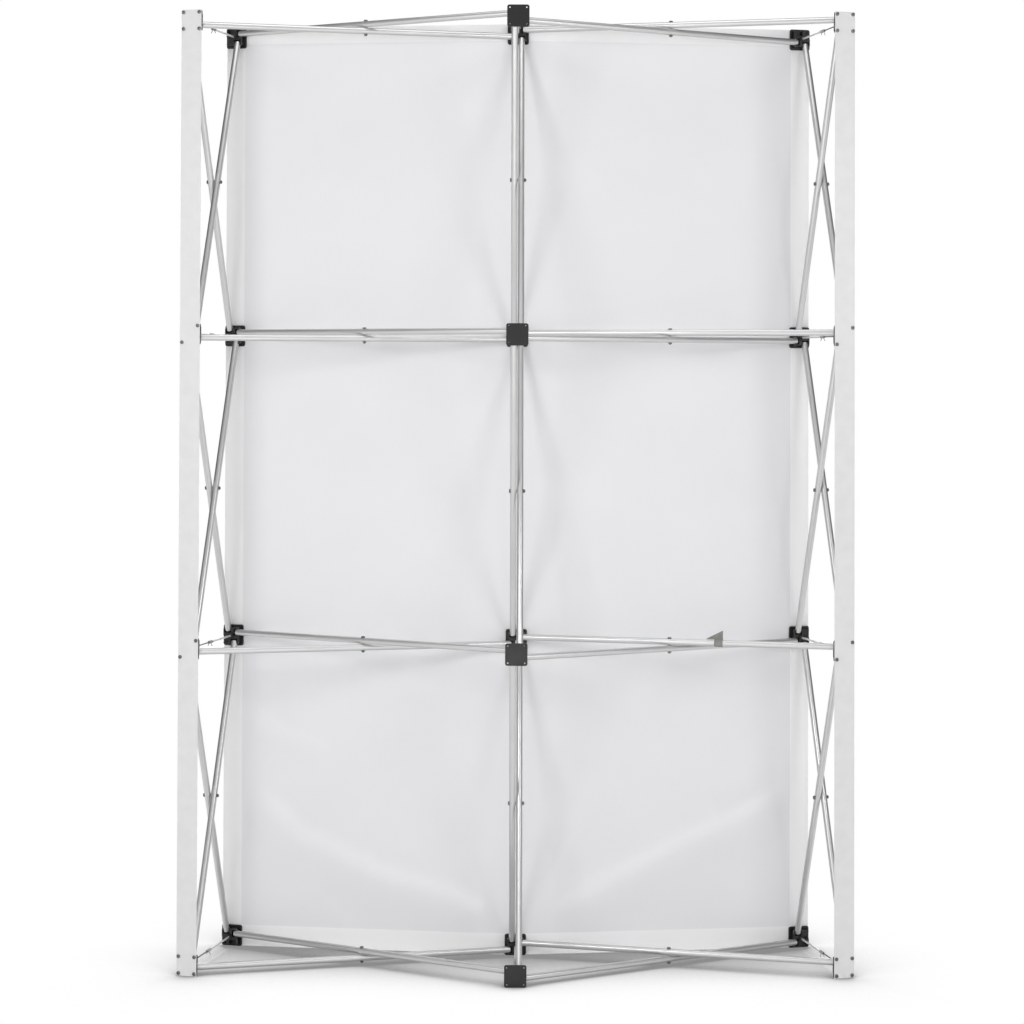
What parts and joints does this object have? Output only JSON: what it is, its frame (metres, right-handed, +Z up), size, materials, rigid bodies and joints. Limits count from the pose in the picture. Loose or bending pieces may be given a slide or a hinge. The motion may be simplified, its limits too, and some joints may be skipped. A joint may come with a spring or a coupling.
{
  "type": "curved banner wall",
  "caption": "Curved pop-up banner wall: a folding scissor frame of crossed tubes and square moulded hubs, with a stretched cloth face and flat end strips.",
  "frame": {"origin": "on the floor, in the middle of the wall's width and depth", "axes": "+Z up, +Y towards the cloth's printed side, +X to the right as seen from behind, where the picture is taken"},
  "size_m": [1.5658, 0.3862, 2.235],
  "materials": {
    "hub_plastic": "fine satin",
    "tube_aluminium": "satin anodised",
    "cloth": "knitted, matte",
    "strip_plastic": "smooth"
  },
  "bodies": {
    "hub_front_left_1": {"hub_front_left_1": "hub_plastic"},
    "hub_front_left_2": {"hub_front_left_2": "hub_plastic"},
    "hub_front_left_3": {"hub_front_left_3": "hub_plastic"},
    "hub_front_left_4": {"hub_front_left_4": "hub_plastic"},
    "hub_front_centre_1": {"hub_front_centre_1": "hub_plastic", "fabric_panel": "cloth", "end_strips": "strip_plastic"},
    "hub_front_centre_2": {"hub_front_centre_2": "hub_plastic"},
    "hub_front_centre_3": {"hub_front_centre_3": "hub_plastic"},
    "hub_front_centre_4": {"hub_front_centre_4": "hub_plastic"},
    "hub_front_right_1": {"hub_front_right_1": "hub_plastic"},
    "hub_front_right_2": {"hub_front_right_2": "hub_plastic"},
    "hub_front_right_3": {"hub_front_right_3": "hub_plastic"},
    "hub_front_right_4": {"hub_front_right_4": "hub_plastic"},
    "hub_back_left_1": {"hub_back_left_1": "hub_plastic"},
    "hub_back_left_2": {"hub_back_left_2": "hub_plastic"},
    "hub_back_left_3": {"hub_back_left_3": "hub_plastic"},
    "hub_back_left_4": {"hub_back_left_4": "hub_plastic"},
    "hub_back_centre_1": {"hub_back_centre_1": "hub_plastic"},
    "hub_back_centre_2": {"hub_back_centre_2": "hub_plastic"},
    "hub_back_centre_3": {"hub_back_centre_3": "hub_plastic"},
    "hub_back_centre_4": {"hub_back_centre_4": "hub_plastic"},
    "hub_back_right_1": {"hub_back_right_1": "hub_plastic"},
    "hub_back_right_2": {"hub_back_right_2": "hub_plastic"},
    "hub_back_right_3": {"hub_back_right_3": "hub_plastic"},
    "hub_back_right_4": {"hub_back_right_4": "hub_plastic"},
    "rail_left_1_going_back": {"rail_left_1_going_back": "tube_aluminium"},
    "rail_left_1_going_front": {"rail_left_1_going_front": "tube_aluminium"},
    "rail_left_2_going_back": {"rail_left_2_going_back": "tube_aluminium"},
    "rail_left_2_going_front": {"rail_left_2_going_front": "tube_aluminium"},
    "rail_left_3_going_back": {"rail_left_3_going_back": "tube_aluminium"},
    "rail_left_3_going_front": {"rail_left_3_going_front": "tube_aluminium"},
    "rail_left_4_going_back": {"rail_left_4_going_back": "tube_aluminium"},
    "rail_left_4_going_front": {"rail_left_4_going_front": "tube_aluminium"},
    "rail_right_1_going_back": {"rail_right_1_going_back": "tube_aluminium"},
    "rail_right_1_going_front": {"rail_right_1_going_front": "tube_aluminium"},
    "rail_right_2_going_back": {"rail_right_2_going_back": "tube_aluminium"},
    "rail_right_2_going_front": {"rail_right_2_going_front": "tube_aluminium"},
    "rail_right_3_going_back": {"rail_right_3_going_back": "tube_aluminium"},
    "rail_right_3_going_front": {"rail_right_3_going_front": "tube_aluminium"},
    "rail_right_4_going_back": {"rail_right_4_going_back": "tube_aluminium"},
    "rail_right_4_going_front": {"rail_right_4_going_front": "tube_aluminium"},
    "post_left_1_rising_back": {"post_left_1_rising_back": "tube_aluminium"},
    "post_left_1_rising_front": {"post_left_1_rising_front": "tube_aluminium"},
    "post_left_2_rising_back": {"post_left_2_rising_back": "tube_aluminium"},
    "post_left_2_rising_front": {"post_left_2_rising_front": "tube_aluminium"},
    "post_left_3_rising_back": {"post_left_3_rising_back": "tube_aluminium"},
    "post_left_3_rising_front": {"post_left_3_rising_front": "tube_aluminium"},
    "post_centre_1_rising_back": {"post_centre_1_rising_back": "tube_aluminium"},
    "post_centre_1_rising_front": {"post_centre_1_rising_front": "tube_aluminium"},
    "post_centre_2_rising_back": {"post_centre_2_rising_back": "tube_aluminium"},
    "post_centre_2_rising_front": {"post_centre_2_rising_front": "tube_aluminium"},
    "post_centre_3_rising_back": {"post_centre_3_rising_back": "tube_aluminium"},
    "post_centre_3_rising_front": {"post_centre_3_rising_front": "tube_aluminium"},
    "post_right_1_rising_back": {"post_right_1_rising_back": "tube_aluminium"},
    "post_right_1_rising_front": {"post_right_1_rising_front": "tube_aluminium"},
    "post_right_2_rising_back": {"post_right_2_rising_back": "tube_aluminium"},
    "post_right_2_rising_front": {"post_right_2_rising_front": "tube_aluminium"},
    "post_right_3_rising_back": {"post_right_3_rising_back": "tube_aluminium"},
    "post_right_3_rising_front": {"post_right_3_rising_front": "tube_aluminium"}
  },
  "joints": [
    {"name": "frame_fold", "type": "hinge", "parent": "hub_front_centre_1", "child": "post_centre_1_rising_back", "pos_m": [-0.008, 0.0829, 0.042], "axis": [1, 0, 0], "range_deg": [0, 67.93], "deforming": ["fabric_panel", "end_strips"]},
    {"name": "hub_back_centre_2_pivot", "type": "hinge", "parent": "post_centre_1_rising_back", "child": "hub_back_centre_2", "pos_m": [-0.008, -0.1751, 0.737], "axis": [1, 0, 0], "range_deg": [-68.43, 0.5]},
    {"name": "post_centre_2_rising_front_pivot", "type": "hinge", "parent": "hub_back_centre_2", "child": "post_centre_2_rising_front", "pos_m": [0.008, -0.1751, 0.77], "axis": [1, 0, 0], "range_deg": [-68.43, 0.5]},
    {"name": "hub_front_centre_3_pivot", "type": "hinge", "parent": "post_centre_2_rising_front", "child": "hub_front_centre_3", "pos_m": [0.008, 0.0829, 1.465], "axis": [1, 0, 0], "range_deg": [-0.5, 68.43]},
    {"name": "post_centre_3_rising_back_pivot", "type": "hinge", "parent": "hub_front_centre_3", "child": "post_centre_3_rising_back", "pos_m": [-0.008, 0.0829, 1.498], "axis": [1, 0, 0], "range_deg": [-0.5, 68.43]},
    {"name": "hub_back_centre_4_pivot", "type": "hinge", "parent": "post_centre_3_rising_back", "child": "hub_back_centre_4", "pos_m": [-0.008, -0.1751, 2.193], "axis": [1, 0, 0], "range_deg": [-68.43, 0.5]},
    {"name": "post_centre_1_rising_front_pivot", "type": "hinge", "parent": "post_centre_1_rising_back", "child": "post_centre_1_rising_front", "pos_m": [0, -0.0461, 0.3895], "axis": [1, 0, 0], "range_deg": [-136.37, 0.5]},
    {"name": "hub_back_centre_1_pivot", "type": "hinge", "parent": "post_centre_1_rising_front", "child": "hub_back_centre_1", "pos_m": [0.008, -0.1751, 0.042], "axis": [1, 0, 0], "range_deg": [-0.5, 68.43]},
    {"name": "hub_front_centre_2_pivot", "type": "hinge", "parent": "post_centre_1_rising_front", "child": "hub_front_centre_2", "pos_m": [0.008, 0.0829, 0.737], "axis": [1, 0, 0], "range_deg": [-0.5, 68.43]},
    {"name": "post_centre_2_rising_back_pivot", "type": "hinge", "parent": "hub_front_centre_2", "child": "post_centre_2_rising_back", "pos_m": [-0.008, 0.0829, 0.77], "axis": [1, 0, 0], "range_deg": [-0.5, 68.43]},
    {"name": "hub_back_centre_3_pivot", "type": "hinge", "parent": "post_centre_2_rising_back", "child": "hub_back_centre_3", "pos_m": [-0.008, -0.1751, 1.465], "axis": [1, 0, 0], "range_deg": [-68.43, 0.5]},
    {"name": "post_centre_3_rising_front_pivot", "type": "hinge", "parent": "hub_back_centre_3", "child": "post_centre_3_rising_front", "pos_m": [0.008, -0.1751, 1.498], "axis": [1, 0, 0], "range_deg": [-68.43, 0.5]},
    {"name": "hub_front_centre_4_pivot", "type": "hinge", "parent": "post_centre_3_rising_front", "child": "hub_front_centre_4", "pos_m": [0.008, 0.0829, 2.193], "axis": [1, 0, 0], "range_deg": [-0.5, 68.43]},
    {"name": "rail_right_1_going_back_pivot", "type": "hinge", "parent": "hub_front_centre_1", "child": "rail_right_1_going_back", "pos_m": [0.0165, 0.0829, 0.0335], "axis": [0, 0, 1], "range_deg": [-75.46, 0.5]},
    {"name": "hub_back_right_1_pivot", "type": "hinge", "parent": "rail_right_1_going_back", "child": "hub_back_right_1", "pos_m": [0.73808, -0.08714, 0.0335], "axis": [0, 0, 1], "range_deg": [-0.5, 61.71]},
    {"name": "rail_right_1_going_front_pivot", "type": "hinge", "parent": "hub_back_centre_1", "child": "rail_right_1_going_front", "pos_m": [0.0165, -0.1751, 0.0175], "axis": [0, 0, 1], "range_deg": [-0.5, 61.71]},
    {"name": "hub_front_right_1_pivot", "type": "hinge", "parent": "rail_right_1_going_front", "child": "hub_front_right_1", "pos_m": [0.6761, 0.16331, 0.0175], "axis": [0, 0, 1], "range_deg": [-75.46, 0.5]},
    {"name": "rail_left_1_going_front_pivot", "type": "hinge", "parent": "hub_front_centre_1", "child": "rail_left_1_going_front", "pos_m": [-0.0165, 0.0829, 0.0175], "axis": [0, 0, 1], "range_deg": [-0.5, 75.46]},
    {"name": "hub_back_left_1_pivot", "type": "hinge", "parent": "rail_left_1_going_front", "child": "hub_back_left_1", "pos_m": [-0.73808, -0.08714, 0.0175], "axis": [0, 0, 1], "range_deg": [-61.71, 0.5]},
    {"name": "rail_left_1_going_back_pivot", "type": "hinge", "parent": "hub_back_centre_1", "child": "rail_left_1_going_back", "pos_m": [-0.0165, -0.1751, 0.0335], "axis": [0, 0, 1], "range_deg": [-61.71, 0.5]},
    {"name": "hub_front_left_1_pivot", "type": "hinge", "parent": "rail_left_1_going_back", "child": "hub_front_left_1", "pos_m": [-0.6761, 0.16331, 0.0335], "axis": [0, 0, 1], "range_deg": [-0.5, 75.46]},
    {"name": "rail_right_2_going_back_pivot", "type": "hinge", "parent": "hub_front_centre_2", "child": "rail_right_2_going_back", "pos_m": [0.0165, 0.0829, 0.7615], "axis": [0, 0, 1], "range_deg": [-75.46, 0.5]},
    {"name": "hub_back_right_2_pivot", "type": "hinge", "parent": "rail_right_2_going_back", "child": "hub_back_right_2", "pos_m": [0.73808, -0.08714, 0.7615], "axis": [0, 0, 1], "range_deg": [-0.5, 61.71]},
    {"name": "rail_right_2_going_front_pivot", "type": "hinge", "parent": "hub_back_centre_2", "child": "rail_right_2_going_front", "pos_m": [0.0165, -0.1751, 0.7455], "axis": [0, 0, 1], "range_deg": [-0.5, 61.71]},
    {"name": "hub_front_right_2_pivot", "type": "hinge", "parent": "rail_right_2_going_front", "child": "hub_front_right_2", "pos_m": [0.6761, 0.16331, 0.7455], "axis": [0, 0, 1], "range_deg": [-75.46, 0.5]},
    {"name": "rail_left_2_going_front_pivot", "type": "hinge", "parent": "hub_front_centre_2", "child": "rail_left_2_going_front", "pos_m": [-0.0165, 0.0829, 0.7455], "axis": [0, 0, 1], "range_deg": [-0.5, 75.46]},
    {"name": "hub_back_left_2_pivot", "type": "hinge", "parent": "rail_left_2_going_front", "child": "hub_back_left_2", "pos_m": [-0.73808, -0.08714, 0.7455], "axis": [0, 0, 1], "range_deg": [-61.71, 0.5]},
    {"name": "rail_left_2_going_back_pivot", "type": "hinge", "parent": "hub_back_centre_2", "child": "rail_left_2_going_back", "pos_m": [-0.0165, -0.1751, 0.7615], "axis": [0, 0, 1], "range_deg": [-61.71, 0.5]},
    {"name": "hub_front_left_2_pivot", "type": "hinge", "parent": "rail_left_2_going_back", "child": "hub_front_left_2", "pos_m": [-0.6761, 0.16331, 0.7615], "axis": [0, 0, 1], "range_deg": [-0.5, 75.46]},
    {"name": "rail_right_3_going_back_pivot", "type": "hinge", "parent": "hub_front_centre_3", "child": "rail_right_3_going_back", "pos_m": [0.0165, 0.0829, 1.4895], "axis": [0, 0, 1], "range_deg": [-75.46, 0.5]},
    {"name": "hub_back_right_3_pivot", "type": "hinge", "parent": "rail_right_3_going_back", "child": "hub_back_right_3", "pos_m": [0.73808, -0.08714, 1.4895], "axis": [0, 0, 1], "range_deg": [-0.5, 61.71]},
    {"name": "rail_right_3_going_front_pivot", "type": "hinge", "parent": "hub_back_centre_3", "child": "rail_right_3_going_front", "pos_m": [0.0165, -0.1751, 1.4735], "axis": [0, 0, 1], "range_deg": [-0.5, 61.71]},
    {"name": "hub_front_right_3_pivot", "type": "hinge", "parent": "rail_right_3_going_front", "child": "hub_front_right_3", "pos_m": [0.6761, 0.16331, 1.4735], "axis": [0, 0, 1], "range_deg": [-75.46, 0.5]},
    {"name": "rail_left_3_going_front_pivot", "type": "hinge", "parent": "hub_front_centre_3", "child": "rail_left_3_going_front", "pos_m": [-0.0165, 0.0829, 1.4735], "axis": [0, 0, 1], "range_deg": [-0.5, 75.46]},
    {"name": "hub_back_left_3_pivot", "type": "hinge", "parent": "rail_left_3_going_front", "child": "hub_back_left_3", "pos_m": [-0.73808, -0.08714, 1.4735], "axis": [0, 0, 1], "range_deg": [-61.71, 0.5]},
    {"name": "rail_left_3_going_back_pivot", "type": "hinge", "parent": "hub_back_centre_3", "child": "rail_left_3_going_back", "pos_m": [-0.0165, -0.1751, 1.4895], "axis": [0, 0, 1], "range_deg": [-61.71, 0.5]},
    {"name": "hub_front_left_3_pivot", "type": "hinge", "parent": "rail_left_3_going_back", "child": "hub_front_left_3", "pos_m": [-0.6761, 0.16331, 1.4895], "axis": [0, 0, 1], "range_deg": [-0.5, 75.46]},
    {"name": "rail_right_4_going_back_pivot", "type": "hinge", "parent": "hub_front_centre_4", "child": "rail_right_4_going_back", "pos_m": [0.0165, 0.0829, 2.2175], "axis": [0, 0, 1], "range_deg": [-75.46, 0.5]},
    {"name": "hub_back_right_4_pivot", "type": "hinge", "parent": "rail_right_4_going_back", "child": "hub_back_right_4", "pos_m": [0.73808, -0.08714, 2.2175], "axis": [0, 0, 1], "range_deg": [-0.5, 61.71]},
    {"name": "rail_right_4_going_front_pivot", "type": "hinge", "parent": "hub_back_centre_4", "child": "rail_right_4_going_front", "pos_m": [0.0165, -0.1751, 2.2015], "axis": [0, 0, 1], "range_deg": [-0.5, 61.71]},
    {"name": "hub_front_right_4_pivot", "type": "hinge", "parent": "rail_right_4_going_front", "child": "hub_front_right_4", "pos_m": [0.6761, 0.16331, 2.2015], "axis": [0, 0, 1], "range_deg": [-75.46, 0.5]},
    {"name": "rail_left_4_going_front_pivot", "type": "hinge", "parent": "hub_front_centre_4", "child": "rail_left_4_going_front", "pos_m": [-0.0165, 0.0829, 2.2015], "axis": [0, 0, 1], "range_deg": [-0.5, 75.46]},
    {"name": "hub_back_left_4_pivot", "type": "hinge", "parent": "rail_left_4_going_front", "child": "hub_back_left_4", "pos_m": [-0.73808, -0.08714, 2.2015], "axis": [0, 0, 1], "range_deg": [-61.71, 0.5]},
    {"name": "rail_left_4_going_back_pivot", "type": "hinge", "parent": "hub_back_centre_4", "child": "rail_left_4_going_back", "pos_m": [-0.0165, -0.1751, 2.2175], "axis": [0, 0, 1], "range_deg": [-61.71, 0.5]},
    {"name": "hub_front_left_4_pivot", "type": "hinge", "parent": "rail_left_4_going_back", "child": "hub_front_left_4", "pos_m": [-0.6761, 0.16331, 2.2175], "axis": [0, 0, 1], "range_deg": [-0.5, 75.46]},
    {"name": "post_left_1_rising_back_pivot", "type": "hinge", "parent": "hub_front_left_1", "child": "post_left_1_rising_back", "pos_m": [-0.69988, 0.16919, 0.042], "axis": [0.9707, -0.2402, 0], "range_deg": [-0.5, 68.43]},
    {"name": "post_left_1_rising_front_pivot", "type": "hinge", "parent": "hub_back_left_1", "child": "post_left_1_rising_front", "pos_m": [-0.74633, -0.0851, 0.042], "axis": [0.9707, -0.2402, 0], "range_deg": [-68.43, 0.5]},
    {"name": "post_left_2_rising_back_pivot", "type": "hinge", "parent": "hub_front_left_2", "child": "post_left_2_rising_back", "pos_m": [-0.69988, 0.16919, 0.77], "axis": [0.9707, -0.2402, 0], "range_deg": [-0.5, 68.43]},
    {"name": "post_left_2_rising_front_pivot", "type": "hinge", "parent": "hub_back_left_2", "child": "post_left_2_rising_front", "pos_m": [-0.74633, -0.0851, 0.77], "axis": [0.9707, -0.2402, 0], "range_deg": [-68.43, 0.5]},
    {"name": "post_left_3_rising_back_pivot", "type": "hinge", "parent": "hub_front_left_3", "child": "post_left_3_rising_back", "pos_m": [-0.69988, 0.16919, 1.498], "axis": [0.9707, -0.2402, 0], "range_deg": [-0.5, 68.43]},
    {"name": "post_left_3_rising_front_pivot", "type": "hinge", "parent": "hub_back_left_3", "child": "post_left_3_rising_front", "pos_m": [-0.74633, -0.0851, 1.498], "axis": [0.9707, -0.2402, 0], "range_deg": [-68.43, 0.5]},
    {"name": "post_right_1_rising_back_pivot", "type": "hinge", "parent": "hub_front_right_1", "child": "post_right_1_rising_back", "pos_m": [0.68435, 0.16535, 0.042], "axis": [0.9707, 0.2402, 0], "range_deg": [-0.5, 68.43]},
    {"name": "post_right_1_rising_front_pivot", "type": "hinge", "parent": "hub_back_right_1", "child": "post_right_1_rising_front", "pos_m": [0.76186, -0.08125, 0.042], "axis": [0.9707, 0.2402, 0], "range_deg": [-68.43, 0.5]},
    {"name": "post_right_2_rising_back_pivot", "type": "hinge", "parent": "hub_front_right_2", "child": "post_right_2_rising_back", "pos_m": [0.68435, 0.16535, 0.77], "axis": [0.9707, 0.2402, 0], "range_deg": [-0.5, 68.43]},
    {"name": "post_right_2_rising_front_pivot", "type": "hinge", "parent": "hub_back_right_2", "child": "post_right_2_rising_front", "pos_m": [0.76186, -0.08125, 0.77], "axis": [0.9707, 0.2402, 0], "range_deg": [-68.43, 0.5]},
    {"name": "post_right_3_rising_back_pivot", "type": "hinge", "parent": "hub_front_right_3", "child": "post_right_3_rising_back", "pos_m": [0.68435, 0.16535, 1.498], "axis": [0.9707, 0.2402, 0], "range_deg": [-0.5, 68.43]},
    {"name": "post_right_3_rising_front_pivot", "type": "hinge", "parent": "hub_back_right_3", "child": "post_right_3_rising_front", "pos_m": [0.76186, -0.08125, 1.498], "axis": [0.9707, 0.2402, 0], "range_deg": [-68.43, 0.5]}
  ],
  "couplings": [
    {"joint": "hub_back_centre_2_pivot", "follows": "frame_fold", "ratio": -1},
    {"joint": "post_centre_2_rising_front_pivot", "follows": "frame_fold", "ratio": -1},
    {"joint": "hub_front_centre_3_pivot", "follows": "frame_fold", "ratio": 1},
    {"joint": "post_centre_3_rising_back_pivot", "follows": "frame_fold", "ratio": 1},
    {"joint": "hub_back_centre_4_pivot", "follows": "frame_fold", "ratio": -1},
    {"joint": "post_centre_1_rising_front_pivot", "follows": "frame_fold", "ratio": -2},
    {"joint": "hub_back_centre_1_pivot", "follows": "frame_fold", "ratio": 1},
    {"joint": "hub_front_centre_2_pivot", "follows": "frame_fold", "ratio": 1},
    {"joint": "post_centre_2_rising_back_pivot", "follows": "frame_fold", "ratio": 1},
    {"joint": "hub_back_centre_3_pivot", "follows": "frame_fold", "ratio": -1},
    {"joint": "post_centre_3_rising_front_pivot", "follows": "frame_fold", "ratio": -1},
    {"joint": "hub_front_centre_4_pivot", "follows": "frame_fold", "ratio": 1},
    {"joint": "rail_right_1_going_back_pivot", "follows": "frame_fold", "ratio": -1.1035},
    {"joint": "hub_back_right_1_pivot", "follows": "frame_fold", "ratio": 0.90109},
    {"joint": "rail_right_1_going_front_pivot", "follows": "frame_fold", "ratio": 0.90109},
    {"joint": "hub_front_right_1_pivot", "follows": "frame_fold", "ratio": -1.1035},
    {"joint": "rail_left_1_going_front_pivot", "follows": "frame_fold", "ratio": 1.1035},
    {"joint": "hub_back_left_1_pivot", "follows": "frame_fold", "ratio": -0.90109},
    {"joint": "rail_left_1_going_back_pivot", "follows": "frame_fold", "ratio": -0.90109},
    {"joint": "hub_front_left_1_pivot", "follows": "frame_fold", "ratio": 1.1035},
    {"joint": "rail_right_2_going_back_pivot", "follows": "frame_fold", "ratio": -1.1035},
    {"joint": "hub_back_right_2_pivot", "follows": "frame_fold", "ratio": 0.90109},
    {"joint": "rail_right_2_going_front_pivot", "follows": "frame_fold", "ratio": 0.90109},
    {"joint": "hub_front_right_2_pivot", "follows": "frame_fold", "ratio": -1.1035},
    {"joint": "rail_left_2_going_front_pivot", "follows": "frame_fold", "ratio": 1.1035},
    {"joint": "hub_back_left_2_pivot", "follows": "frame_fold", "ratio": -0.90109},
    {"joint": "rail_left_2_going_back_pivot", "follows": "frame_fold", "ratio": -0.90109},
    {"joint": "hub_front_left_2_pivot", "follows": "frame_fold", "ratio": 1.1035},
    {"joint": "rail_right_3_going_back_pivot", "follows": "frame_fold", "ratio": -1.1035},
    {"joint": "hub_back_right_3_pivot", "follows": "frame_fold", "ratio": 0.90109},
    {"joint": "rail_right_3_going_front_pivot", "follows": "frame_fold", "ratio": 0.90109},
    {"joint": "hub_front_right_3_pivot", "follows": "frame_fold", "ratio": -1.1035},
    {"joint": "rail_left_3_going_front_pivot", "follows": "frame_fold", "ratio": 1.1035},
    {"joint": "hub_back_left_3_pivot", "follows": "frame_fold", "ratio": -0.90109},
    {"joint": "rail_left_3_going_back_pivot", "follows": "frame_fold", "ratio": -0.90109},
    {"joint": "hub_front_left_3_pivot", "follows": "frame_fold", "ratio": 1.1035},
    {"joint": "rail_right_4_going_back_pivot", "follows": "frame_fold", "ratio": -1.1035},
    {"joint": "hub_back_right_4_pivot", "follows": "frame_fold", "ratio": 0.90109},
    {"joint": "rail_right_4_going_front_pivot", "follows": "frame_fold", "ratio": 0.90109},
    {"joint": "hub_front_right_4_pivot", "follows": "frame_fold", "ratio": -1.1035},
    {"joint": "rail_left_4_going_front_pivot", "follows": "frame_fold", "ratio": 1.1035},
    {"joint": "hub_back_left_4_pivot", "follows": "frame_fold", "ratio": -0.90109},
    {"joint": "rail_left_4_going_back_pivot", "follows": "frame_fold", "ratio": -0.90109},
    {"joint": "hub_front_left_4_pivot", "follows": "frame_fold", "ratio": 1.1035},
    {"joint": "post_left_1_rising_back_pivot", "follows": "frame_fold", "ratio": 1},
    {"joint": "post_left_1_rising_front_pivot", "follows": "frame_fold", "ratio": -1},
    {"joint": "post_left_2_rising_back_pivot", "follows": "frame_fold", "ratio": 1},
    {"joint": "post_left_2_rising_front_pivot", "follows": "frame_fold", "ratio": -1},
    {"joint": "post_left_3_rising_back_pivot", "follows": "frame_fold", "ratio": 1},
    {"joint": "post_left_3_rising_front_pivot", "follows": "frame_fold", "ratio": -1},
    {"joint": "post_right_1_rising_back_pivot", "follows": "frame_fold", "ratio": 1},
    {"joint": "post_right_1_rising_front_pivot", "follows": "frame_fold", "ratio": -1},
    {"joint": "post_right_2_rising_back_pivot", "follows": "frame_fold", "ratio": 1},
    {"joint": "post_right_2_rising_front_pivot", "follows": "frame_fold", "ratio": -1},
    {"joint": "post_right_3_rising_back_pivot", "follows": "frame_fold", "ratio": 1},
    {"joint": "post_right_3_rising_front_pivot", "follows": "frame_fold", "ratio": -1}
  ]
}
